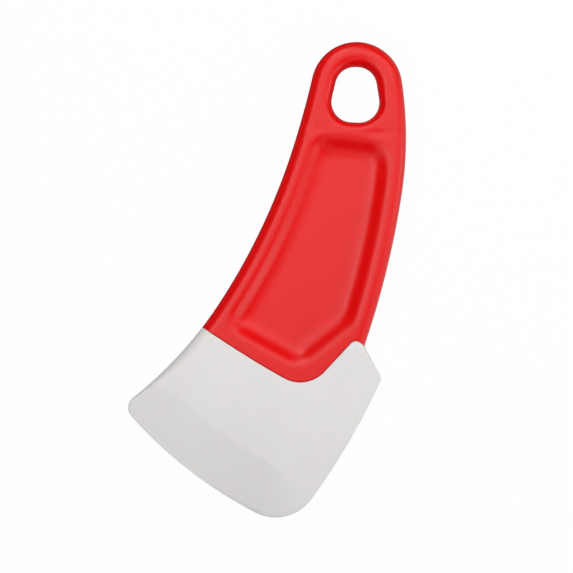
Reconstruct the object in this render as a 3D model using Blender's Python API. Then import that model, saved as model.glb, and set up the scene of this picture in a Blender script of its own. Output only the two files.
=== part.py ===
"""Spatula scraper: a rigid handle, a stiff core plate and a soft blade moulded over it.

The tool lies on its back with the hanging hole towards +Y. Plan places are first measured from the
centre of the round hanging end (x to the right, y up, so a drop is a distance towards the blade),
and one empty then carries the whole tool to its resting place, centred over the origin.
"""
import math

import bmesh
import bpy
import numpy as np
from mathutils import Matrix

MM = 0.001

# Handle, seen from above
end_radius = 14.8 * MM
left_leave_angle = math.radians(182.9)      # where the left side leaves the round end
neck_left_length = 24.6 * MM
neck_left_radius = 303.0 * MM
grip_left_length = 56.3 * MM
grip_left_radius = 206.6 * MM
right_leave_angle = math.radians(24.7)      # where the right side leaves the round end
neck_right_length = 37.1 * MM
neck_right_radius = 122.7 * MM
grip_right_length = 51.2 * MM
grip_right_radius = 282.8 * MM

# Blade, seen from above
blade_left_length = 45.6 * MM
blade_left_radius = 130.2 * MM
shoulder_length = 12.0 * MM
shoulder_angle = math.radians(-45.0)
toe_back = 7.1 * MM                         # toe's sharp corner, back and down from the shoulder's root
toe_sink = 64.0 * MM
long_edge_radius = 141.1 * MM
side_edge_radius = 225.0 * MM
left_corner_radius = 4.0 * MM
toe_radius = 14.4 * MM
right_corner_radius = 0.8 * MM
shoulder_fillet = 2.0 * MM

# Thickness
tool_thickness = 9.2 * MM
side_flat = 0.6 * MM                        # straight middle of the handle's half-round side
land_thickness = 7.6 * MM                   # blade where its bevel starts
land_crown = 0.2 * MM                       # how far the land bulges above a straight fall
tip_thickness = 1.2 * MM                    # scraping edge
flush_step = 0.02 * MM                      # land below the handle's face where they meet

# Joint line between handle and blade
joint_low_back = 13.9 * MM                  # sharp corner of the joint's V, from the shoulder's root
joint_low_sink = 19.1 * MM
joint_left_angle = math.radians(164.3)
joint_bow = 1.0 * MM                        # of the joint's long side, towards the blade
joint_low_radius = 10.8 * MM
nub_back = 3.5 * MM                         # top of the blade's nub, back from the shoulder's root
nub_rise = 1.4 * MM
nub_radius = 2.2 * MM
joint_gap = 0.3 * MM

# Bevel of the blade
bevel_left_length = 14.6 * MM               # along the left side, from the corner
bevel_toe_back = 11.0 * MM                  # crease's corner, back and up from the toe's sharp corner
bevel_toe_rise = 18.5 * MM
crease_bow = 1.6 * MM
crease_side_bow = 3.0 * MM
crease_corner_radius = 2.0 * MM
bevel_nub_shift = 1.2 * MM                  # crease's upper end, past the top of the nub
crease_climb = 1.5                          # power by which the crease climbs to the nub
land_shares = (0.35, 0.7)                   # rows of the land between joint and crease

# Hanging hole
hole_shift = 0.4 * MM
hole_drop = 2.4 * MM
hole_tilt = math.radians(13.7)
hole_length = 18.1 * MM
hole_width = 14.9 * MM
hole_flank_angle = math.radians(11.0)
hole_top_flat = 0.8 * MM                    # straight middle of its upper end
hole_low_radius = 6.6 * MM
hole_lip_depth = 3.0 * MM
hole_lip_width = 3.3 * MM                   # of the rounded lip, seen from above, at the flanks
hole_lip_low_width = 2.6 * MM
hole_lip_top_width = 3.9 * MM

# Recessed panel, the same on both faces
web_thickness = 3.2 * MM                    # between the two panels
panel_wall_high = 3.0 * MM                  # wall, seen from above, from its brim to its steepest line
panel_wall_low = 4.8 * MM                   # and from there to the floor
panel_rim = 4.3 * MM                        # from the handle's side to the panel's brim
panel_hole_rim = 4.75 * MM                  # from the hole's lower end to the brim
panel_top_tilt = math.radians(10.5)
panel_low_back = 4.1 * MM                   # sharp low corner, from the corner of the joint's V
panel_low_rise = 5.2 * MM
panel_low_left_angle = math.radians(167.2)
panel_low_right_angle = math.radians(54.6)
panel_top_left_radius = 6.8 * MM
panel_top_right_radius = 7.3 * MM
panel_low_left_radius = 6.3 * MM
panel_low_radius = 8.2 * MM
panel_low_right_radius = 10.8 * MM
panel_floor_radius = 1.2 * MM               # least radius of the floor's corners

# Core plate
core_thickness = 1.4 * MM
core_fit = 0.3 * MM                         # clearance all round
core_side_margin = 5.0 * MM
core_crease_margin = 3.0 * MM
core_joint_margin = 2.5 * MM
core_corner_radius = 3.0 * MM
tang_width = 22.0 * MM
tang_back = 8.0 * MM                        # tang's middle, back from the corner of the joint's V
tang_length = 27.0 * MM
tang_root_radius = 2.0 * MM
tang_hole_radius = 3.2 * MM
tang_hole_rises = (10.5 * MM, 20.0 * MM)
plate_hole_radius = 3.5 * MM
plate_hole_shares = (0.16, 0.38, 0.60)      # places along the land

# Fineness
line_step = 0.5 * MM
edge_steps = 7
wall_steps = 4                              # on either side of the wall's steepest line
tool_side_steps = (132, 22, 18, 4)
tool_corner_steps = (4, 9, 2, 2)
joint_side_steps = (16, 8, 4)
joint_corner_steps = (12, 6)
hole_side_steps = (3, 2, 3, 2)
hole_corner_steps = (6, 6, 8, 8)
panel_side_steps = (26, 6, 5, 22, 4)
panel_corner_steps = (5, 5, 5, 5, 5)
core_side_steps = (2, 2, 6, 10, 6, 2, 2)
core_corner_steps = (4, 4, 4, 5, 3, 4, 4)
heading_step = 0.01                         # stretch of a side over which its heading is read
parallel_limit = 1e-18                      # two sides with less spread never cross
overshoot = 7.0 * MM                        # how far a side runs past its corners before trimming
least_radius = 0.2 * MM
cutter_reach = 8.0 * MM
edge_outset = 0.5 * MM
land_rise = 0.4 * MM                        # of the envelope inside the handle
nub_end_angle = math.radians(100.0)
hole_segments = 20

half = tool_thickness / 2
edge_radius = half - side_flat / 2
panel_depth = (tool_thickness - web_thickness) / 2

for old in list(bpy.data.objects):
    bpy.data.objects.remove(old, do_unlink=True)
tool = bpy.data.objects.new("tool", None)
bpy.context.collection.objects.link(tool)


def unit(angle):
    return np.array((math.cos(angle), math.sin(angle)))


def cross(first, second):
    return first[..., 0] * second[..., 1] - first[..., 1] * second[..., 0]


def bend_line(start, heading, bends):
    """Points along tangent arcs. A bend is (length, radius); a negative radius turns right."""
    points = [np.array(start)]
    for length, radius in bends:
        steps = max(2, math.ceil(length / line_step))
        swing = length / steps / radius
        chord = 2 * radius * math.sin(swing / 2)
        for _ in range(steps):
            points.append(points[-1] + chord * unit(heading + swing / 2))
            heading += swing
    return np.array(points), heading


def straight(start, end):
    """A straight side that runs past both of its ends."""
    start, end = np.array(start), np.array(end)
    along = (end - start) / np.linalg.norm(end - start)
    return np.array((start - overshoot * along, end + overshoot * along))


def arc_side(start, end, radius):
    """An arc that turns left from start to end, and runs past both."""
    start, end = np.array(start), np.array(end)
    chord = end - start
    length = np.linalg.norm(chord)
    sweep = 2 * math.asin(length / 2 / radius)
    extra = overshoot / radius
    heading = math.atan2(chord[1], chord[0]) - sweep / 2
    centre = start + radius * unit(heading + math.pi / 2)
    steps = math.ceil(radius * (sweep + 2 * extra) / line_step)
    angles = heading - math.pi / 2 + np.linspace(-extra, sweep + extra, steps + 1)
    return centre + radius * np.column_stack((np.cos(angles), np.sin(angles)))


def bowed(start, end, bow):
    """An arc from start to end that bulges by its bow to the right of its direction."""
    chord = np.linalg.norm(np.array(end) - np.array(start))
    return arc_side(start, end, chord ** 2 / 8 / bow + bow / 2)


def shifted(line, distance):
    """The line moved sideways, to the left of its direction."""
    along = np.gradient(line, axis=0)
    along /= np.linalg.norm(along, axis=1)[:, None]
    return line + distance * np.column_stack((-along[:, 1], along[:, 0]))


def crossing(first, second):
    """Where two lines cross: a place along each, counted in its points."""
    start, run = first[:-1, None], np.diff(first, axis=0)[:, None]
    other, rise = second[None, :-1], np.diff(second, axis=0)[None]
    spread = cross(run, rise)
    spread = np.where(abs(spread) < parallel_limit, parallel_limit, spread)
    along = cross(other - start, rise) / spread
    across = cross(other - start, run) / spread
    hits = np.argwhere((along >= 0) & (along <= 1) & (across >= 0) & (across <= 1))
    i, j = hits[-1]
    return i + along[i, j], j + across[i, j]


def at(line, places):
    """Points of a line at places counted in its points."""
    whole = np.arange(len(line))
    return np.column_stack([np.interp(places, whole, line[:, axis]) for axis in (0, 1)])


def corner(before, after, radius, steps):
    """Rounds the meeting of two sides: where each one is trimmed, and the arc between."""
    leave, enter = crossing(before, after)
    heading_in = np.diff(at(before, (leave - heading_step, leave + heading_step)), axis=0)[0]
    heading_out = np.diff(at(after, (enter - heading_step, enter + heading_step)), axis=0)[0]
    side = math.copysign(radius, cross(heading_in, heading_out))
    leave, enter = crossing(shifted(before, side), shifted(after, side))
    centre = at(shifted(before, side), [leave])[0]
    first = at(before, [leave])[0] - centre
    last = at(after, [enter])[0] - centre
    begin = math.atan2(first[1], first[0])
    sweep = math.atan2(cross(first, last), first @ last)
    angles = begin + sweep * np.linspace(0, 1, steps + 2)[1:-1]
    arc = centre + radius * np.column_stack((np.cos(angles), np.sin(angles)))
    return leave, enter, arc


def rounded(sides, radii, points, steps, closed=True):
    """One outline from sides that cross in turn. Corner k is where side k meets the next one."""
    count = len(sides)
    starts = [0.0] * count
    ends = [len(side) - 1.0 for side in sides]
    arcs = [np.empty((0, 2))] * count
    for k in range(count if closed else count - 1):
        after = (k + 1) % count
        ends[k], starts[after], arcs[k] = corner(sides[k], sides[after], radii[k], steps[k])
    pieces = []
    for k in range(count):
        pieces.append(at(sides[k], np.linspace(starts[k], ends[k], points[k])))
        pieces.append(arcs[k])
    return np.vstack(pieces)


def loft(name, rings):
    """A closed solid through rings of the same count, each (plan outline, height)."""
    solid = bmesh.new()
    loops = [[solid.verts.new((x, y, z)) for x, y in outline] for outline, z in rings]
    for low, high in zip(loops, loops[1:]):
        for k in range(len(low)):
            after = (k + 1) % len(low)
            solid.faces.new((low[k], low[after], high[after], high[k]))
    solid.faces.new(loops[0][::-1])
    solid.faces.new(loops[-1])
    bmesh.ops.recalc_face_normals(solid, faces=solid.faces)
    return add_object(name, solid)


def prism(name, outline, low, high):
    return loft(name, [(outline, low), (outline, high)])


def add_object(name, solid):
    mesh = bpy.data.meshes.new(name)
    solid.to_mesh(mesh)
    solid.free()
    item = bpy.data.objects.new(name, mesh)
    bpy.context.collection.objects.link(item)
    item.parent = tool
    return item


def as_cutter(item):
    item.hide_render = True
    item.display_type = "WIRE"
    return item


def boolean(target, tool_object, operation):
    cut = target.modifiers.new(tool_object.name, "BOOLEAN")
    cut.operation = operation
    cut.solver = "EXACT"
    cut.object = tool_object


def material(name, colour, roughness):
    finish = bpy.data.materials.new(name)
    finish.use_nodes = True
    shader = finish.node_tree.nodes["Principled BSDF"]
    shader.inputs["Base Color"].default_value = (*colour, 1.0)
    shader.inputs["Roughness"].default_value = roughness
    shader.inputs["Metallic"].default_value = 0.0
    finish.diffuse_color = (*colour, 1.0)
    return finish


# Lines of the plan
def handle_side(leave_angle, bends, extra, clockwise):
    """One side of the handle, from the round end down and on past its last arc."""
    start = end_radius * unit(leave_angle)
    heading = leave_angle + (-math.pi / 2 if clockwise else math.pi / 2)
    line, heading = bend_line(start, heading, bends)
    tail, _ = bend_line(line[-1], heading, [(extra, bends[-1][1])])
    return np.vstack((line, tail[1:])), line[-1]


left_bends = [
    (neck_left_length, -neck_left_radius),
    (grip_left_length, -grip_left_radius),
    (blade_left_length, -blade_left_radius),
]
right_bends = [(neck_right_length, -neck_right_radius), (grip_right_length, -grip_right_radius)]
left_side, left_corner = handle_side(left_leave_angle, left_bends, overshoot, False)
right_side, shoulder_root = handle_side(right_leave_angle, right_bends, overshoot, True)

right_corner = shoulder_root + shoulder_length * unit(shoulder_angle)
toe_corner = shoulder_root + (-toe_back, -toe_sink)
end_length = end_radius * (left_leave_angle - right_leave_angle)
round_end, _ = bend_line(right_side[0], right_leave_angle + math.pi / 2, [(end_length, end_radius)])
handle_rim = np.vstack((right_side[::-1], round_end[1:], left_side[1:]))
long_edge = arc_side(left_corner, toe_corner, long_edge_radius)
side_edge = arc_side(toe_corner, right_corner, side_edge_radius)
shoulder = straight(right_corner, shoulder_root)

hole_centre = np.array((hole_shift, -hole_drop))
blade_width = shoulder_root[0] - left_corner[0]
joint_low = shoulder_root + (-joint_low_back, -joint_low_sink)
joint_nub = shoulder_root + (-nub_back, nub_rise)
joint_left = joint_low + (blade_width - joint_low_back) * unit(joint_left_angle)

bevel_left = at(left_side, [len(left_side) - 1 - (overshoot + bevel_left_length) / line_step])[0]
bevel_low = toe_corner + (-bevel_toe_back, bevel_toe_rise)
bevel_top = joint_nub + (bevel_nub_shift, 0)


def tool_outline(inset):
    """The whole tool from above, drawn in by an inset."""
    sides = [shifted(side, inset) for side in (handle_rim, long_edge, side_edge, shoulder)]
    radii = [
        max(left_corner_radius - inset, least_radius),
        max(toe_radius - inset, least_radius),
        max(right_corner_radius - inset, least_radius),
        shoulder_fillet + inset,
    ]
    return rounded(sides, radii, tool_side_steps, tool_corner_steps)


def joint_line(drop, last):
    """The line where the handle ends, from left to right, moved towards the blade by a drop.

    Over the nub it runs on to the last place.
    """
    sides = [
        bowed(joint_left, joint_low, joint_bow),
        straight(joint_low, joint_nub),
        straight(joint_nub, last),
    ]
    sides = [shifted(side, -drop) for side in sides]
    radii = (joint_low_radius + drop, max(nub_radius - drop, least_radius))
    return rounded(sides, radii, joint_side_steps, joint_corner_steps, closed=False)


def half_round_blank(name):
    """The tool's full thickness with half-round sides, before anything is cut from it."""
    rings = []
    for end in (-1, 1):
        for k in range(edge_steps):
            share = k if end > 0 else edge_steps - 1 - k
            angle = math.pi / 2 * share / (edge_steps - 1)
            inset = edge_radius * (1 - math.cos(angle))
            rings.append((tool_outline(inset), end * (side_flat / 2 + edge_radius * math.sin(angle))))
    return loft(name, rings)


def hole_outline(share):
    """The hanging hole, a rounded trapezoid, widened by a share of its lip."""
    left, low, right, top = share * np.array(
        (hole_lip_width, hole_lip_low_width, hole_lip_width, hole_lip_top_width)
    )
    up = hole_length / 2
    lean = up * math.tan(hole_flank_angle)
    low_left, low_right = (-hole_width / 2 - lean, -up), (hole_width / 2 + lean, -up)
    top_left, top_right = (-hole_width / 2 + lean, up), (hole_width / 2 - lean, up)
    sides = [
        shifted(straight(top_left, low_left), -left),
        shifted(straight(low_left, low_right), -low),
        shifted(straight(low_right, top_right), -right),
        shifted(straight(top_right, top_left), -top),
    ]
    top_radius = (top_right[0] - hole_top_flat / 2) / math.tan(math.pi / 4 - hole_flank_angle / 2)
    radii = (hole_low_radius + low, hole_low_radius + low, top_radius + right, top_radius + left)
    outline = rounded(sides, radii, hole_side_steps, hole_corner_steps)
    along, across = unit(hole_tilt), unit(hole_tilt + math.pi / 2)
    return hole_centre + outline[:, :1] * along + outline[:, 1:] * across


def hole_cutter():
    """A trumpet at both ends, so that the hole's lip is rounded."""
    rings = [(hole_outline(1), -half - cutter_reach)]
    for end in (-1, 1):
        for k in range(edge_steps):
            share = k if end > 0 else edge_steps - 1 - k
            angle = math.pi / 2 * share / (edge_steps - 1)
            height = half - hole_lip_depth * (1 - math.sin(angle))
            rings.append((hole_outline(1 - math.cos(angle)), end * height))
    rings.append((hole_outline(1), half + cutter_reach))
    return as_cutter(loft("hole_cutter", rings))


def panel_outline(inset):
    """The recessed panel's brim from above, drawn in by an inset."""
    low = joint_low + (-panel_low_back, panel_low_rise)
    top = hole_centre - (hole_length / 2 + panel_hole_rim) * unit(hole_tilt + math.pi / 2)
    top_reach = end_radius * unit(panel_top_tilt)
    sides = [
        shifted(left_side, panel_rim),
        straight(low + blade_width * unit(panel_low_left_angle), low),
        straight(low, low + blade_width * unit(panel_low_right_angle)),
        shifted(right_side, -panel_rim)[::-1],
        straight(top + top_reach, top - top_reach),
    ]
    radii = (
        panel_low_left_radius,
        panel_low_radius,
        panel_low_right_radius,
        panel_top_right_radius,
        panel_top_left_radius,
    )
    radii = [max(radius - inset, panel_floor_radius) for radius in radii]
    sides = [shifted(side, inset) for side in sides]
    return rounded(sides, radii, panel_side_steps, panel_corner_steps)


def panel_cutter(name, face):
    """Fills one panel: straight above the brim, then an S-shaped wall, with a wider foot, to the floor."""
    rings = [(panel_outline(0), face * (half + cutter_reach))]
    for k in range(2 * wall_steps + 1):
        share = k / wall_steps - 1
        width = panel_wall_high if share < 0 else panel_wall_low
        inset = panel_wall_high + share * width
        depth = panel_wall_high + math.sin(math.pi / 2 * share) * width
        depth *= panel_depth / (panel_wall_high + panel_wall_low)
        rings.append((panel_outline(inset), face * (half - depth)))
    return as_cutter(loft(name, rings[::-1] if face > 0 else rings))


def joint_cutter(name, drop, towards_blade):
    """Everything on one side of the joint line."""
    line = joint_line(drop, shoulder_root)
    west, east = left_corner[0] - cutter_reach, right_corner[0] + cutter_reach
    far = toe_corner[1] - cutter_reach if towards_blade else end_radius + cutter_reach
    ends = [(east, line[-1, 1]), (east, far), (west, far), (west, line[0, 1])]
    return as_cutter(prism(name, np.vstack((line, ends)), -half - cutter_reach, half + cutter_reach))


def crease_sides():
    """The crease where the land meets the bevel: along the long edge, then up beside the short one."""
    return [bowed(bevel_left, bevel_low, crease_bow), bowed(bevel_low, bevel_top, crease_side_bow)]


def blade_envelope():
    """The land and its bevel, front and back, as one solid that is wider than the blade."""
    nub_end = joint_nub + overshoot * unit(nub_end_angle)
    joint_row = joint_line(0, nub_end)
    upper_row = joint_line(-overshoot / 2, nub_end)
    side_count = joint_side_steps[1] + joint_corner_steps[1] + joint_side_steps[2]
    counts = (joint_side_steps[0], side_count)
    corner_steps = joint_corner_steps[:1]
    crease_row = rounded(crease_sides(), (crease_corner_radius,), counts, corner_steps, closed=False)
    edge_row = rounded([long_edge, side_edge], (toe_radius,), counts, corner_steps, closed=False)

    joint_heights = np.full(len(joint_row), half - flush_step)
    climb = np.concatenate((np.zeros(len(joint_row) - side_count), np.linspace(0, 1, side_count)))
    low = land_thickness / 2
    crease_heights = low + (half - 2 * flush_step - low) * climb ** crease_climb
    rows = [(upper_row, joint_heights + land_rise), (joint_row, joint_heights)]
    for share in land_shares:
        plan = joint_row + share * (crease_row - joint_row)
        fall = joint_heights - crease_heights
        crown = 4 * land_crown * share * (1 - share) * fall / (half - low)
        rows.append((plan, joint_heights - share * fall + crown))
    rows.append((crease_row, crease_heights))
    outward = edge_row - crease_row
    width = np.linalg.norm(outward, axis=1)
    outward /= width[:, None]
    slope = (crease_heights - tip_thickness / 2) / width
    rows.append((edge_row + edge_outset * outward, tip_thickness / 2 - slope * edge_outset))
    rows.append((edge_row + overshoot * outward, rows[-1][1]))
    return as_cutter(two_faced("blade_envelope", rows))


def two_faced(name, rows):
    """A closed solid from rows of plan points and heights, the same above and below."""
    solid = bmesh.new()
    grids = []
    for face in (1, -1):
        grids.append([[solid.verts.new((x, y, face * z)) for (x, y), z in zip(*row)] for row in rows])
    last_row, last_column = len(rows) - 1, len(rows[0][0]) - 1
    for grid in grids:
        for r in range(last_row):
            for c in range(last_column):
                solid.faces.new((grid[r][c], grid[r][c + 1], grid[r + 1][c + 1], grid[r + 1][c]))
    around = [(0, c) for c in range(last_column)] + [(r, last_column) for r in range(last_row)]
    around += [(last_row, c) for c in range(last_column, 0, -1)] + [(r, 0) for r in range(last_row, 0, -1)]
    top, bottom = grids
    for (r, c), (next_r, next_c) in zip(around, around[1:] + around[:1]):
        solid.faces.new((top[r][c], top[next_r][next_c], bottom[next_r][next_c], bottom[r][c]))
    bmesh.ops.recalc_face_normals(solid, faces=solid.faces)
    return add_object(name, solid)


def core_outline(grow):
    """The core plate and its tang from above, widened by a clearance."""
    middle = joint_low[0] - tang_back
    left, right = middle - tang_width / 2, middle + tang_width / 2
    top = joint_low[1] + tang_length
    crease_long, crease_side = crease_sides()
    sides = [
        straight((left, top), (left, joint_low[1])),
        shifted(straight(joint_low, joint_left), core_joint_margin),
        shifted(left_side, core_side_margin),
        shifted(crease_long, core_crease_margin),
        shifted(crease_side, core_crease_margin),
        straight((right, bevel_low[1]), (right, top)),
        straight((right, top), (left, top)),
    ]
    widened = core_corner_radius + grow
    radii = (tang_root_radius - grow, widened, widened, widened, widened, widened, widened)
    sides = [shifted(side, -grow) for side in sides]
    return rounded(sides, radii, core_side_steps, core_corner_steps)


def hole_centres():
    """Locking holes: up the tang's middle, and in a row between joint and crease."""
    middle = joint_low[0] - tang_back
    centres = [(middle, joint_low[1] + rise, tang_hole_radius) for rise in tang_hole_rises]
    joint_start = at(left_side, [crossing(left_side, straight(joint_low, joint_left))[0]])[0]
    for share in plate_hole_shares:
        upper = joint_start + share * (joint_low - joint_start)
        lower = bevel_left + share * (bevel_low - bevel_left)
        x, y = (upper + lower) / 2
        centres.append((x, y, plate_hole_radius))
    return centres


def core_plate(name, grow):
    """The core, or the hollow that it leaves in its neighbours when it is grown by its clearance."""
    height = core_thickness / 2 + grow
    plate = prism(name, core_outline(grow), -height, height)
    drills = bmesh.new()
    for x, y, radius in hole_centres():
        bmesh.ops.create_cone(
            drills,
            cap_ends=True,
            segments=hole_segments,
            radius1=radius - grow,
            radius2=radius - grow,
            depth=4 * height,
            matrix=Matrix.Translation((x, y, 0)),
        )
    drill_object = as_cutter(add_object(name + "_drills", drills))
    boolean(plate, drill_object, "DIFFERENCE")
    return plate


def finish(item, surface):
    item.data.materials.append(surface)
    item.data.shade_smooth()
    item.data.set_sharp_from_angle(angle=math.radians(30))


red_plastic = material("red_plastic", (0.80, 0.01, 0.012), 0.36)
pale_silicone = material("pale_silicone", (0.80, 0.79, 0.775), 0.55)
core_nylon = material("core_nylon", (0.60, 0.60, 0.58), 0.50)

core_hollow = as_cutter(core_plate("core_hollow", core_fit))

handle = half_round_blank("handle")
boolean(handle, joint_cutter("blade_side_cutter", 0, True), "DIFFERENCE")
boolean(handle, panel_cutter("front_panel_cutter", 1), "DIFFERENCE")
boolean(handle, panel_cutter("back_panel_cutter", -1), "DIFFERENCE")
boolean(handle, hole_cutter(), "DIFFERENCE")
boolean(handle, core_hollow, "DIFFERENCE")
finish(handle, red_plastic)

blade = half_round_blank("blade")
boolean(blade, blade_envelope(), "INTERSECT")
boolean(blade, joint_cutter("handle_side_cutter", joint_gap, False), "DIFFERENCE")
boolean(blade, core_hollow, "DIFFERENCE")
finish(blade, pale_silicone)

core = core_plate("core", 0)
finish(core, core_nylon)

plan = tool_outline(0)
low_corner, high_corner = plan.min(axis=0), plan.max(axis=0)
tool.location = (*(-(low_corner + high_corner) / 2), half)
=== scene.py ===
# Spatula scraper: satin red handle with a recessed panel, and a pale silicone blade.
# The frame is in metres, and the lists and tables of shapes below are in millimetres.
import math

import bpy
import numpy as np
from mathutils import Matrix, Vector
from mathutils.bvhtree import BVHTree


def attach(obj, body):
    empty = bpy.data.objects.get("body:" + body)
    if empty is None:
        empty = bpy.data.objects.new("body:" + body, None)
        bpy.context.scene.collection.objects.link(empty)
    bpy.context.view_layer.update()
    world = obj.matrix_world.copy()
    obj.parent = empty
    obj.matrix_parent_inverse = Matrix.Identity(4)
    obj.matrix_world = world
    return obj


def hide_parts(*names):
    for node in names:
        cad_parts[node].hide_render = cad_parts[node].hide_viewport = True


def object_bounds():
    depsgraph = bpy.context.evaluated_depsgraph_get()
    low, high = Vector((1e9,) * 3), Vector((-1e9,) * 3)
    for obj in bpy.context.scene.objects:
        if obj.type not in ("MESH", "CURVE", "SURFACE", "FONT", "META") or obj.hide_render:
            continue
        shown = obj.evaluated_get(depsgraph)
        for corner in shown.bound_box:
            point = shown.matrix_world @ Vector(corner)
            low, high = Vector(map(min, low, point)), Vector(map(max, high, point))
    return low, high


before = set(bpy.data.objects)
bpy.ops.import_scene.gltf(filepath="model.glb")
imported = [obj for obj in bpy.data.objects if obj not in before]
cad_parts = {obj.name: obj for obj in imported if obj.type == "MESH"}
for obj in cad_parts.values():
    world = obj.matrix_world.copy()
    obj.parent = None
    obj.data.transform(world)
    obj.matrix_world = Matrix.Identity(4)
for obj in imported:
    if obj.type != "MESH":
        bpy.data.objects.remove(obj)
cadLow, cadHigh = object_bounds()
bpy.ops.object.select_all(action="DESELECT")
print("frame loaded")

mm = 0.001
halfThickness = (cadHigh.z - cadLow.z) / 2
middle = (cadHigh.z + cadLow.z) / 2

# Each outline is a chain of smooth arcs: x, y, heading in degrees, and how wide its rim is there
body = {
    "outline": [
        (30.29, -15.53, 87.2, 3.4),
        (28.29, 34.69, 97.4, 3.4),
        (18.05, 70.25, 114.7, 3.3),
        (7.70, 78.46, 167.4, 3.3),
        (-5.06, 75.32, 220.2, 3.4),
        (-10.30, 63.26, 272.9, 3.6),
        (-10.05, 38.67, 268.2, 4.0),
        (-19.37, -16.68, 252.6, 4.0),
        (-37.77, -53.61, 234.4, 3.6),
        (-36.67, -59.31, 327.5, 3.0),
        (10.97, -78.52, 348.5, 3.0),
        (27.36, -69.33, 69.9, 3.0),
        (38.52, -25.30, 81.6, 0.6),
        (38.29, -24.62, 135.0, 0.6),
        (30.72, -17.05, 135.0, 2.0),
    ],
    "sideFlat": 0.6,            # flat band along the middle of the sides
    "fullness": 0.8,            # 1 is a plain half-round side, less is a rounder shoulder
    "rimSteps": 14,
    "voxel": 0.36,
    "smoothing": 5,             # rounds of smoothing after the faces are shaped
    "smoothStrength": 0.5,
    "sharpAngle": 35,           # in degrees, edges past it stay sharp
}

hole = {
    "outline": [
        (-2.30, 58.63, -87.3, 3.0),
        (5.86, 52.53, 13.7, 2.2),
        (8.19, 53.10, 13.7, 2.2),
        (12.63, 62.27, 114.7, 2.9),
        (10.48, 66.94, 114.7, 3.5),
        (3.13, 70.50, 193.7, 4.4),
        (2.35, 70.31, 193.7, 4.4),
        (-2.54, 63.77, 272.7, 3.3),
    ],
    "lipDepth": 4.2,            # how far down the lip's rounding goes
    "lipSteps": 12,
}

# The recessed panel: its brim, the line where its wall is steepest, and the edge of its floor
panel = {
    "brim": [
        (-15.32, -17.12, -107.2),
        (-10.55, -25.38, -12.8),
        (7.03, -29.37, -12.8),
        (15.74, -26.05, 54.6),
        (24.91, -13.15, 54.6),
        (27.03, -6.69, 89.0),
        (24.77, 34.23, 97.4),
        (23.10, 44.10, 101.9),
        (13.80, 50.40, -169.5),
        (-0.38, 47.77, -169.5),
        (-6.02, 41.00, -91.4),
    ],
    "steepest": [
        (-12.46, -18.01, -107.2),
        (-9.89, -22.45, -12.8),
        (7.38, -26.38, -12.8),
        (12.98, -24.24, 54.6),
        (21.69, -11.98, 54.6),
        (23.16, -7.52, 88.8),
        (20.95, 33.74, 97.4),
        (19.84, 40.62, 100.9),
        (11.76, 46.03, -169.5),
        (0.26, 43.89, -169.5),
        (-3.01, 40.06, -91.4),
    ],
    "floor": [
        (-6.10, -17.05, -106.4),
        (-5.00, -18.13, -12.8),
        (6.72, -20.79, -12.8),
        (9.41, -19.76, 54.6),
        (16.42, -9.90, 54.6),
        (17.16, -7.67, 88.8),
        (15.00, 32.96, 97.4),
        (14.18, 38.02, 100.5),
        (11.07, 40.11, -169.5),
        (4.75, 38.94, -169.5),
        (2.71, 36.57, -92.0),
    ],
    "depth": 3.1,
    # how far the wall's slope gathers at its steepest line: place along the tool, above it, below it
    "sharpness": [(-16, 1.0, 2.2), (-8, 1.0, 2.3), (36, 1.0, 2.3), (43, 1.0, 2.0)],
    "reach": (-32, 52),         # the wall lies between these places along the tool
    "lowest": 2.0,              # points nearer the middle plane, as on the sides, are left alone
}

# Shallow sink marks on the neck's front: x, y, heading, half length, half width, depth
sinkMarks = [
    (14.7, 51.1, 20.0, 3.2, 0.9, 0.28),
    (-4.2, 47.3, 12.0, 3.0, 1.2, 0.18),
]
sinkMarkFloor = 4.0             # only points further than this from the middle plane are marked

# Where red and white meet: along the wide side, round the V, up to the nub and out on the right
joint = {
    "line": [
        (-38.15, -20.25, -16.4),
        (7.93, -33.73, -12.8),
        (19.96, -28.08, 63.1),
        (25.68, -16.81, 63.1),
        (28.46, -15.77, -21.8),
        (46.46, -22.97, -21.8),
    ],
    "handleRim": (0.50, 1.30),  # how wide and how deep the rounded rim is on each side
    "bladeRim": (0.40, 0.60),
    "rimSteps": 5,
    "cutterReach": (60, 120),   # the cutter's half width and length
}
cutterOverhang = 1.0            # cutters stand past both faces by this

# The blade's faces as rows of four points: start, the corner's two ends, and the far end
land = {
    "joint": [
        (-38.15, -20.25, -16.4),
        (7.93, -33.73, -12.8),
        (19.96, -28.08, 63.1),
        (27.20, -8.00, 80.0),
    ],
    "crease": [
        (-43.60, -43.60, -9.4),
        (10.58, -61.58, -13.6),
        (12.76, -60.69, 58.2),
        (29.30, -7.60, 81.0),
    ],
    "edge": [
        (-50.30, -54.60, -48.6),
        (10.97, -78.52, -11.5),
        (27.36, -69.33, 69.9),
        (40.60, -8.00, 85.0),
    ],
    "faceStep": 0.02,           # land below the handle's face at the joint
    "thickness": 7.6,           # at the crease, along the wide side
    "crown": 0.2,               # bulge between joint and crease
    "climb": 1.5,               # power by which the crease climbs towards the nub
    "tip": 1.2,                 # thickness of the scraping edge
    "tipRound": 0.5,            # its rounding
    "tipSteps": 4,
    "tipRest": 0.3,             # share of the tip's thickness left at its very edge
    "softness": 1.8,            # power of the bevel's bulge beside the short edge, 1 is straight
    "rows": 14,                 # on the land, and as many on the bevel
    "reach": 8.0,               # the sheet goes on past the edge
    "backing": 0.3,             # and behind the joint, as a share of the land
}

arcPoints = 24                  # on each arc of a chain
straightTurn = 1e-4             # arcs that turn less than this are straight
weldGap = 1e-7                  # in metres, as are the next three
thinnest = 1e-6
farAway = 1e9
unlimited = 1.0                 # a height that nothing reaches


def wrapAngle(angle):
    return (angle + math.pi) % (2 * math.pi) - math.pi


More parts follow.
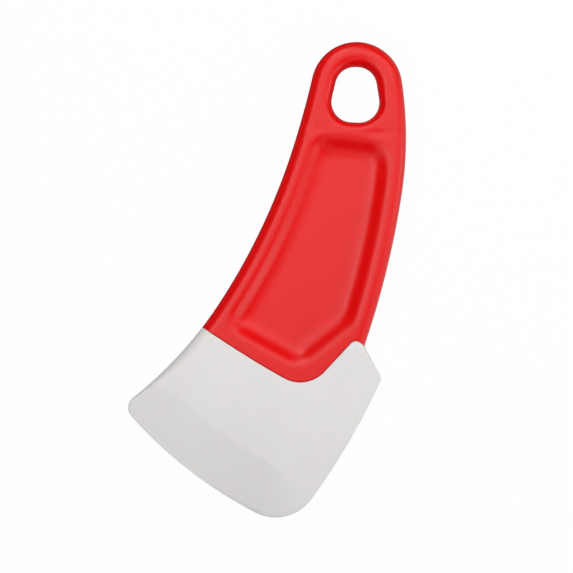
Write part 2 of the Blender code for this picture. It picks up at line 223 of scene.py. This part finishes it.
# A chain of smooth arcs through the nodes, moved to its left by a share of each node's own width
def chain(nodes, share=0.0, closed=True):
    table = np.array(nodes, float)
    heading = np.radians(table[:, 2])
    direction = np.column_stack((np.cos(heading), np.sin(heading)))
    sideways = np.column_stack((-direction[:, 1], direction[:, 0]))
    width = table[:, 3] if table.shape[1] > 3 else np.ones(len(table))
    place = (table[:, :2] + share * width[:, None] * sideways) * mm
    points = []
    for k in range(len(nodes) if closed else len(nodes) - 1):
        after = (k + 1) % len(nodes)
        turn = abs(wrapAngle(heading[after] - heading[k]))
        reach = 1 / 3 if turn < straightTurn else 2 / 3 * math.tan(turn / 4) / math.sin(turn / 2)
        reach *= np.linalg.norm(place[after] - place[k])
        first = place[k] + reach * direction[k]
        second = place[after] - reach * direction[after]
        t = np.arange(arcPoints)[:, None] / arcPoints
        start = (1 - t) ** 3 * place[k] + 3 * (1 - t) ** 2 * t * first
        points.append(start + 3 * (1 - t) * t**2 * second + t**3 * place[after])
    if not closed:
        points.append(place[-1:])
    return np.vstack(points)


def setPlaces(item, places):
    item.data.vertices.foreach_set("co", np.ascontiguousarray(places, dtype=np.float32).ravel())
    item.data.update()


def getPlaces(item):
    places = np.empty(len(item.data.vertices) * 3, np.float32)
    item.data.vertices.foreach_get("co", places)
    return places.reshape(-1, 3).astype(float)


def pick(item):
    bpy.ops.object.select_all(action="DESELECT")
    item.select_set(True)
    bpy.context.view_layer.objects.active = item


# A grid is rolled up into a wall through rings of plan points, and both ends are closed
def rolledWall(name, rings):
    count = len(rings[0][0])
    bpy.ops.mesh.primitive_grid_add(x_subdivisions=count, y_subdivisions=len(rings) - 1, size=1)
    wall = bpy.context.object
    wall.name = name
    rows = []
    for points, height in rings:
        around = np.vstack((points, points[:1]))
        rows.append(np.column_stack((around, np.full(len(around), middle + height * mm))))
    setPlaces(wall, np.vstack(rows))
    pick(wall)
    bpy.ops.object.mode_set(mode="EDIT")
    bpy.ops.mesh.select_all(action="SELECT")
    bpy.ops.mesh.remove_doubles(threshold=weldGap)
    bpy.ops.mesh.fill_holes(sides=0)
    bpy.ops.mesh.select_all(action="SELECT")
    bpy.ops.mesh.normals_make_consistent(inside=False)
    bpy.ops.object.mode_set(mode="OBJECT")
    return wall


def cut(item, cutter, solver="EXACT"):
    pick(item)
    bpy.ops.object.modifier_add(type="BOOLEAN")
    trim = item.modifiers[-1]
    trim.operation = "DIFFERENCE"
    trim.solver = solver
    trim.object = cutter
    bpy.ops.object.modifier_apply(modifier=trim.name)
    bpy.data.objects.remove(cutter)


# Distance from each place to a closed chain, and whether the place is inside it
def distanceTo(places, line):
    best = np.full(len(places), farAway)
    inside = np.zeros(len(places), bool)
    after = np.roll(line, -1, axis=0)
    for start, end in zip(line, after):
        along = end - start
        offset = places - start
        share = np.clip(offset @ along / max(along @ along, weldGap**2), 0, 1)
        gap = offset - share[:, None] * along
        best = np.minimum(best, np.einsum("ij,ij->i", gap, gap))
        crosses = (start[1] > places[:, 1]) != (end[1] > places[:, 1])
        if crosses.any() and start[1] != end[1]:
            meet = start[0] + (places[:, 1] - start[1]) / (end[1] - start[1]) * along[0]
            inside ^= crosses & (places[:, 0] < meet)
    return np.sqrt(best), inside


def halfRound(steps):
    return [math.pi / 2 * k / steps for k in range(steps + 1)]


# The whole tool at full thickness, with rounded sides and the hanging hole
flat = body["sideFlat"] / 2
thick = halfThickness / mm
rings = []
for end in (-1, 1):
    angles = halfRound(body["rimSteps"])
    for angle in angles if end > 0 else angles[::-1]:
        height = flat + (thick - flat) * math.sin(angle) ** body["fullness"]
        rings.append((chain(body["outline"], 1 - math.cos(angle)), end * height))
wholeTool = rolledWall("wholeTool", rings)

rings = [(chain(hole["outline"], -1), -thick - cutterOverhang)]
for end in (-1, 1):
    angles = halfRound(hole["lipSteps"])
    for angle in angles if end > 0 else angles[::-1]:
        height = thick - hole["lipDepth"] * (1 - math.sin(angle))
        rings.append((chain(hole["outline"], math.cos(angle) - 1), end * height))
rings.append((chain(hole["outline"], -1), thick + cutterOverhang))
cut(wholeTool, rolledWall("holeCutter", rings))
print("blank and hole made")

pick(wholeTool)
bpy.ops.object.modifier_add(type="REMESH")
evenMesh = wholeTool.modifiers[-1]
evenMesh.mode = "VOXEL"
evenMesh.voxel_size = body["voxel"] * mm
bpy.ops.object.modifier_apply(modifier=evenMesh.name)
print("even mesh:", len(wholeTool.data.polygons), "faces")


# The blade's faces: land falling from the joint to the crease, then the bevel down to the thin edge
def landSheet():
    jointRow = chain(land["joint"], closed=False) / mm
    creaseRow = chain(land["crease"], closed=False) / mm
    edgeRow = chain(land["edge"], closed=False) / mm
    top = thick - land["faceStep"]
    low = land["thickness"] / 2
    tip = land["tip"] / 2
    sideStart = 2 * arcPoints
    climb = np.clip((np.arange(len(jointRow)) - sideStart) / arcPoints, 0, 1) ** land["climb"]
    creaseHeight = low + (top - land["faceStep"] - low) * climb
    soft = np.clip((np.arange(len(jointRow)) - arcPoints) / arcPoints, 0, 1)
    level = np.full(len(jointRow), top)
    backRow = jointRow + (jointRow - creaseRow) * land["backing"]
    rows = [(backRow, level + land["faceStep"]), (jointRow, level)]
    for share in np.linspace(0, 1, land["rows"])[1:]:
        fall = top - creaseHeight
        crown = 4 * land["crown"] * share * (1 - share) * fall / (thick - low)
        rows.append((jointRow + share * (creaseRow - jointRow), top - share * fall + crown))
    for share in np.linspace(0, 1, land["rows"])[1:]:
        drop = (1 - soft) * share + soft * share ** land["softness"]
        bevelRow = creaseRow + share * (edgeRow - creaseRow)
        rows.append((bevelRow, creaseHeight - (creaseHeight - tip) * drop))
    outward = edgeRow - creaseRow
    outward /= np.linalg.norm(outward, axis=1)[:, None]
    rows[-1] = (edgeRow - land["tipRound"] * outward, rows[-1][1])
    for angle in halfRound(land["tipSteps"])[1:]:
        place = edgeRow - land["tipRound"] * (1 - math.sin(angle)) * outward
        rest = land["tipRest"] + (1 - land["tipRest"]) * math.cos(angle)
        rows.append((place, np.full(len(edgeRow), tip * rest)))
    rows.append((edgeRow + land["reach"] * outward, rows[-1][1]))
    corners = [(x * mm, y * mm, z * mm) for plan, heights in rows for (x, y), z in zip(plan, heights)]
    columns = len(jointRow)
    faces = []
    for r in range(len(rows) - 1):
        for c in range(columns - 1):
            k = r * columns + c
            faces.append((k, k + 1, k + columns + 1, k + columns))
    return BVHTree.FromPolygons(corners, faces)


# How far a wall has sunk at a share of its width from its steepest line, where its slope gathers
def wallSink(share, sharpness):
    share = np.clip(share, 0, 1)
    return (1 + 1 / sharpness**2) * np.arctan(sharpness * share) / sharpness - share / sharpness**2


def shapeFaces(item):
    places = getPlaces(item)
    height = places[:, 2] - middle
    size = abs(height)

    # land and bevel of the blade
    sheet = landSheet()
    limit = np.full(len(places), unlimited)
    below = places[:, 1] < 0
    for k in np.nonzero(below)[0]:
        hit = sheet.ray_cast(Vector((places[k, 0], places[k, 1], unlimited)), Vector((0, 0, -1)))[0]
        if hit:
            limit[k] = hit.z
    size = np.minimum(size, limit)

    # recessed panel on both faces
    plan = places[:, :2]
    lowEnd, highEnd = panel["reach"]
    near = (plan[:, 1] > lowEnd * mm) & (plan[:, 1] < highEnd * mm)
    near &= size > panel["lowest"] * mm
    some = plan[near]
    brimGap, inBrim = distanceTo(some, chain(panel["brim"]))
    steepGap, inSteep = distanceTo(some, chain(panel["steepest"]))
    floorGap, inFloor = distanceTo(some, chain(panel["floor"]))
    run = np.where(inSteep, steepGap, -steepGap)
    highWidth = np.maximum(brimGap - run, thinnest)
    lowWidth = np.maximum(np.where(inFloor, -floorGap, floorGap) + run, thinnest)
    along, above, under = np.array(panel["sharpness"], float).T
    highSharpness = np.interp(some[:, 1] / mm, along, above)
    lowSharpness = np.interp(some[:, 1] / mm, along, under)
    highPart = highWidth * wallSink(1, highSharpness)
    lowPart = lowWidth * wallSink(1, lowSharpness)
    slope = panel["depth"] * mm / (highPart + lowPart)
    highSink = slope * (highPart - highWidth * wallSink(-run / highWidth, highSharpness))
    lowSink = slope * (highPart + lowWidth * wallSink(run / lowWidth, lowSharpness))
    sink = np.where(inSteep, lowSink, highSink)
    sink = np.where(inFloor, panel["depth"] * mm, np.where(inBrim, sink, 0))
    size[near] -= sink

    for x, y, heading, length, width, depth in sinkMarks:
        offset = plan - np.array((x, y)) * mm
        aim = math.radians(heading)
        far = offset @ (math.cos(aim), math.sin(aim)) / (length * mm)
        aside = offset @ (-math.sin(aim), math.cos(aim)) / (width * mm)
        front = (height > 0) & (size > sinkMarkFloor * mm)
        size -= depth * mm * np.exp(-(far**2 + aside**2) / 2) * front
    places[:, 2] = middle + np.sign(height) * size
    setPlaces(item, np.clip(places, cadLow, cadHigh))


shapeFaces(wholeTool)
pick(wholeTool)
bpy.ops.object.mode_set(mode="EDIT")
bpy.ops.mesh.select_all(action="SELECT")
bpy.ops.mesh.vertices_smooth(factor=body["smoothStrength"], repeat=body["smoothing"])
bpy.ops.object.mode_set(mode="OBJECT")
print("faces shaped")


# Everything on one side of the joint, with a flare at both faces that rounds the cut's rim
def jointCutter(name, bladeSide):
    far = 1 if bladeSide else -1
    halfWidth, length = joint["cutterReach"]
    away = -far * length
    corners = np.array([(halfWidth, 0), (halfWidth, away), (-halfWidth, away), (-halfWidth, 0)]) * mm
    wide, deep = joint["handleRim" if bladeSide else "bladeRim"]

    def ring(outset):
        line = chain([(*node, 1.0) for node in joint["line"]], far * outset, closed=False)
        ends = corners.copy()
        ends[0, 1], ends[3, 1] = line[-1, 1], line[0, 1]
        return np.vstack((line, ends))

    rings = [(ring(wide), -thick - cutterOverhang)]
    for end in (-1, 1):
        angles = halfRound(joint["rimSteps"])
        for angle in angles if end > 0 else angles[::-1]:
            height = thick - deep * (1 - math.sin(angle))
            rings.append((ring(wide * (1 - math.cos(angle))), end * height))
    rings.append((ring(wide), thick + cutterOverhang))
    return rolledWall(name, rings)


pick(wholeTool)
bpy.ops.object.duplicate()
handleShell = bpy.context.object
handleShell.name = "handleShell"
bladeShell = wholeTool
bladeShell.name = "bladeShell"
cut(handleShell, jointCutter("bladeSide", True), "MANIFOLD")
cut(bladeShell, jointCutter("handleSide", False), "MANIFOLD")
print("split:", len(handleShell.data.polygons), len(bladeShell.data.polygons), "faces")


# Materials
def newMaterial(name):
    finish = bpy.data.materials.new(name)
    finish.use_nodes = True
    tree = finish.node_tree
    return finish, tree, tree.nodes["Principled BSDF"]


noiseSpan = (0.3, 0.7)          # nearly all of a noise lies between these


def noise(tree, scale, detail=2.0):
    place = tree.nodes.new("ShaderNodeTexCoord")
    grain = tree.nodes.new("ShaderNodeTexNoise")
    grain.inputs["Scale"].default_value = scale
    grain.inputs["Detail"].default_value = detail
    grain.inputs["Roughness"].default_value = 0.5
    tree.links.new(place.outputs["Object"], grain.inputs["Vector"])
    return grain.outputs["Fac"]


def spread(tree, source, low, high):
    ramp = tree.nodes.new("ShaderNodeMapRange")
    ramp.inputs["From Min"].default_value = noiseSpan[0]
    ramp.inputs["From Max"].default_value = noiseSpan[1]
    ramp.inputs["To Min"].default_value = low
    ramp.inputs["To Max"].default_value = high
    tree.links.new(source, ramp.inputs["Value"])
    return ramp.outputs["Result"]


def blend(tree, factor, first, second):
    mix = tree.nodes.new("ShaderNodeMix")
    mix.data_type = "RGBA"
    mix.inputs["A"].default_value = (*first, 1)
    mix.inputs["B"].default_value = (*second, 1)
    tree.links.new(factor, mix.inputs["Factor"])
    return mix.outputs["Result"]


def bump(tree, source, strength, distance):
    relief = tree.nodes.new("ShaderNodeBump")
    relief.inputs["Strength"].default_value = strength
    relief.inputs["Distance"].default_value = distance
    tree.links.new(source, relief.inputs["Height"])
    return relief.outputs["Normal"]


redLook = {
    "colour": (0.81, 0.0003, 0.0003),
    "colourFleck": (0.775, 0.0015, 0.0015),
    "fleck": 1000,              # scale of the flecks, noises are per metre
    "roughness": (0.29, 0.32),
    "roughnessCloud": 150,
    "grain": 1400,
    "grainDetail": 3,
    "grainStrength": 0.5,
    "grainHeight": 0.08 * mm,
    "ior": 1.5,
    "specular": 0.4,
}


def redPlastic():
    finish, tree, shader = newMaterial("redPlastic")
    fleck = spread(tree, noise(tree, redLook["fleck"], redLook["grainDetail"]), 0, 1)
    colour = blend(tree, fleck, redLook["colour"], redLook["colourFleck"])
    tree.links.new(colour, shader.inputs["Base Color"])
    rough = spread(tree, noise(tree, redLook["roughnessCloud"]), *redLook["roughness"])
    tree.links.new(rough, shader.inputs["Roughness"])
    grain = noise(tree, redLook["grain"], redLook["grainDetail"])
    relief = bump(tree, grain, redLook["grainStrength"], redLook["grainHeight"])
    tree.links.new(relief, shader.inputs["Normal"])
    shader.inputs["IOR"].default_value = redLook["ior"]
    shader.inputs["Specular IOR Level"].default_value = redLook["specular"]
    return finish


siliconeLook = {
    "colour": (0.818, 0.801, 0.792),
    "colourDull": (0.797, 0.78, 0.77),
    "colourCloud": 45,
    "roughness": (0.5, 0.58),
    "roughnessCloud": 500,
    "grain": 3000,
    "grainDetail": 3,
    "grainStrength": 0.4,
    "grainHeight": 0.004 * mm,
    "ior": 1.42,
    "scatter": 0.5,             # share of light that spreads under the skin
    "scatterReach": 0.8 * mm,
    "scatterTint": (1.0, 0.95, 0.9),
}


def paleSilicone():
    finish, tree, shader = newMaterial("paleSilicone")
    cloud = spread(tree, noise(tree, siliconeLook["colourCloud"]), 0, 1)
    colour = blend(tree, cloud, siliconeLook["colour"], siliconeLook["colourDull"])
    tree.links.new(colour, shader.inputs["Base Color"])
    rough = spread(tree, noise(tree, siliconeLook["roughnessCloud"]), *siliconeLook["roughness"])
    tree.links.new(rough, shader.inputs["Roughness"])
    grain = noise(tree, siliconeLook["grain"], siliconeLook["grainDetail"])
    relief = bump(tree, grain, siliconeLook["grainStrength"], siliconeLook["grainHeight"])
    tree.links.new(relief, shader.inputs["Normal"])
    shader.inputs["IOR"].default_value = siliconeLook["ior"]
    shader.inputs["Subsurface Weight"].default_value = siliconeLook["scatter"]
    shader.inputs["Subsurface Scale"].default_value = siliconeLook["scatterReach"]
    shader.inputs["Subsurface Radius"].default_value = siliconeLook["scatterTint"]
    return finish


nylonLook = {
    "colour": (0.60, 0.60, 0.58),
    "colourDull": (0.55, 0.55, 0.53),
    "colourCloud": 90,
    "roughness": (0.45, 0.55),
    "roughnessCloud": 700,
}


def coreNylon():
    finish, tree, shader = newMaterial("coreNylon")
    cloud = spread(tree, noise(tree, nylonLook["colourCloud"]), 0, 1)
    colour = blend(tree, cloud, nylonLook["colour"], nylonLook["colourDull"])
    tree.links.new(colour, shader.inputs["Base Color"])
    rough = spread(tree, noise(tree, nylonLook["roughnessCloud"]), *nylonLook["roughness"])
    tree.links.new(rough, shader.inputs["Roughness"])
    return finish


def dress(piece, finish):
    piece.data.materials.clear()
    piece.data.materials.append(finish)


for piece, finish, node, slot in (
    (handleShell, redPlastic(), "handle", "handle_plastic"),
    (bladeShell, paleSilicone(), "blade", "blade_silicone"),
):
    dress(piece, finish)
    pick(piece)
    bpy.ops.object.shade_smooth_by_angle(angle=math.radians(body["sharpAngle"]))
    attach(piece, "root")
    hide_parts(node)
dress(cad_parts["core"], coreNylon())
print("finishes on")


# Floor, lights and camera
floorLook = {
    "size": 6,
    "colour": (0.03, 0.03, 0.03, 1),    # dark, so that the lamps leave its white alone
    "roughness": 0.9,
    "white": 0.965,
    "softShare": 0.6,           # how much of the white reaches soft light, and gloss
    "glossShare": 0.9,
    "paintedGlowStart": 0.05,         # metres to the right of the middle where the painted glow that reflections see reaches all of its share
}
bpy.ops.mesh.primitive_plane_add(size=floorLook["size"], location=(0, 0, cadLow.z))
floor = bpy.context.object
floor.name = "floor"
floorFinish, floorTree, floorShader = newMaterial("paleFloor")
floorShader.inputs["Base Color"].default_value = floorLook["colour"]
floorShader.inputs["Roughness"].default_value = floorLook["roughness"]
floorShader.inputs["Specular IOR Level"].default_value = 0.0
path = floorTree.nodes.new("ShaderNodeLightPath")
floorPlace = floorTree.nodes.new("ShaderNodeTexCoord")
sides = floorTree.nodes.new("ShaderNodeSeparateXYZ")
floorTree.links.new(floorPlace.outputs["Object"], sides.inputs["Vector"])
# painted reflection: reflections see a glow painted on the floor, none at the tool's middle and left,
# rising to full on its right, so the right rims get a painted highlight
paintedRightGlow = floorTree.nodes.new("ShaderNodeMapRange")
paintedRightGlow.inputs["From Min"].default_value = 0.0
paintedRightGlow.inputs["From Max"].default_value = floorLook["paintedGlowStart"]
floorTree.links.new(sides.outputs["X"], paintedRightGlow.inputs["Value"])


def largest(first, second):
    pair = floorTree.nodes.new("ShaderNodeMath")
    pair.operation = "MAXIMUM"
    floorTree.links.new(first, pair.inputs[0])
    floorTree.links.new(second, pair.inputs[1])
    return pair.outputs[0]


def times(first, second):
    pair = floorTree.nodes.new("ShaderNodeMath")
    pair.operation = "MULTIPLY"
    floorTree.links.new(first, pair.inputs[0])
    if isinstance(second, float):
        pair.inputs[1].default_value = second
    else:
        floorTree.links.new(second, pair.inputs[1])
    return pair.outputs[0]


seen = largest(path.outputs["Is Camera Ray"], path.outputs["Is Transmission Ray"])
seen = largest(seen, times(path.outputs["Is Diffuse Ray"], floorLook["softShare"]))
# painted reflection: how bright the floor's painted right-hand glow is to gloss
paintedReflectionGlow = times(paintedRightGlow.outputs["Result"], floorLook["glossShare"])
seen = largest(seen, times(path.outputs["Is Glossy Ray"], paintedReflectionGlow))
floorShader.inputs["Emission Color"].default_value = (1, 1, 1, 1)
floorTree.links.new(times(seen, floorLook["white"]), floorShader.inputs["Emission Strength"])
dress(floor, floorFinish)

# The world is nearly black, and white where the camera looks past the floor
worldGlow = 0.01
world = bpy.data.worlds.new("studio")
bpy.context.scene.world = world
world.use_nodes = True
sky = world.node_tree
background = sky.nodes["Background"]
worldPath = sky.nodes.new("ShaderNodeLightPath")
worldMix = sky.nodes.new("ShaderNodeMix")
worldMix.inputs["A"].default_value = worldGlow
worldMix.inputs["B"].default_value = 1.0
sky.links.new(worldPath.outputs["Is Camera Ray"], worldMix.inputs["Factor"])
background.inputs["Color"].default_value = (1, 1, 1, 1)
sky.links.new(worldMix.outputs["Result"], background.inputs["Strength"])

roll = math.radians(16)         # how far the tool is turned in the picture
photoRight = Vector((math.cos(roll), math.sin(roll), 0))
photoUp = Vector((-math.sin(roll), math.cos(roll), 0))

# Round softboxes in the photograph's own directions: glow by elevation and azimuth, where azimuth 0
# is the photograph's right and 90 its top
softboxes = {
    80: {0: 0.6, 90: 1.0, 180: 0.9},
    62: {0: 0.8, 45: 1.6, 90: 1.9, 135: 1.4, 180: 3.0, 225: 1.3, 270: 0.7},
    42: {0: 0.9, 36: 1.9, 72: 1.0, 108: 3.9, 216: 0.6, 288: 0.7},
    24: {0: 1.1, 30: 0.5, 90: 0.5, 300: 0.5, 330: 1.9},
    8: {0: 2.2, 324: 1.9},
}
softboxDistance = 0.5           # from the origin, in metres
softboxWidth = 0.2126           # the same
softboxLevel = 1.08             # brightness of all of them together
for elevation, ringOfLamps in softboxes.items():
    for azimuth, glow in ringOfLamps.items():
        flatTurn = math.radians(azimuth)
        climb = math.radians(elevation)
        level = photoRight * math.cos(flatTurn) + photoUp * math.sin(flatTurn)
        place = (level * math.cos(climb) + Vector((0, 0, math.sin(climb)))) * softboxDistance
        bpy.ops.object.light_add(type="AREA", location=place)
        light = bpy.context.object
        light.name = f"softbox{elevation}_{azimuth}"
        light.data.shape = "DISK"
        light.data.size = softboxWidth
        light.data.energy = softboxLevel * glow * math.pi * math.pi * (softboxWidth / 2) ** 2
        light.rotation_euler = (-place).to_track_quat("-Z", "Y").to_euler()

camera = {
    "aim": (0.43, -4.79),
    "lens": 300.0,
    "sensor": 36,
    "across": 186.8,            # width of the picture at the height below
    "level": 7.0,
}
distance = camera["across"] * camera["lens"] / camera["sensor"] + camera["level"]
aimX, aimY = camera["aim"]
bpy.ops.object.camera_add(
    location=(aimX * mm, aimY * mm, cadLow.z + distance * mm),
    rotation=(0, 0, roll),
)
eye = bpy.context.object
eye.data.lens = camera["lens"]
eye.data.sensor_width = camera["sensor"]
bpy.context.scene.camera = eye
bpy.context.scene.view_settings.view_transform = "Standard"
print("lights and camera set")

bpy.context.view_layer.update()
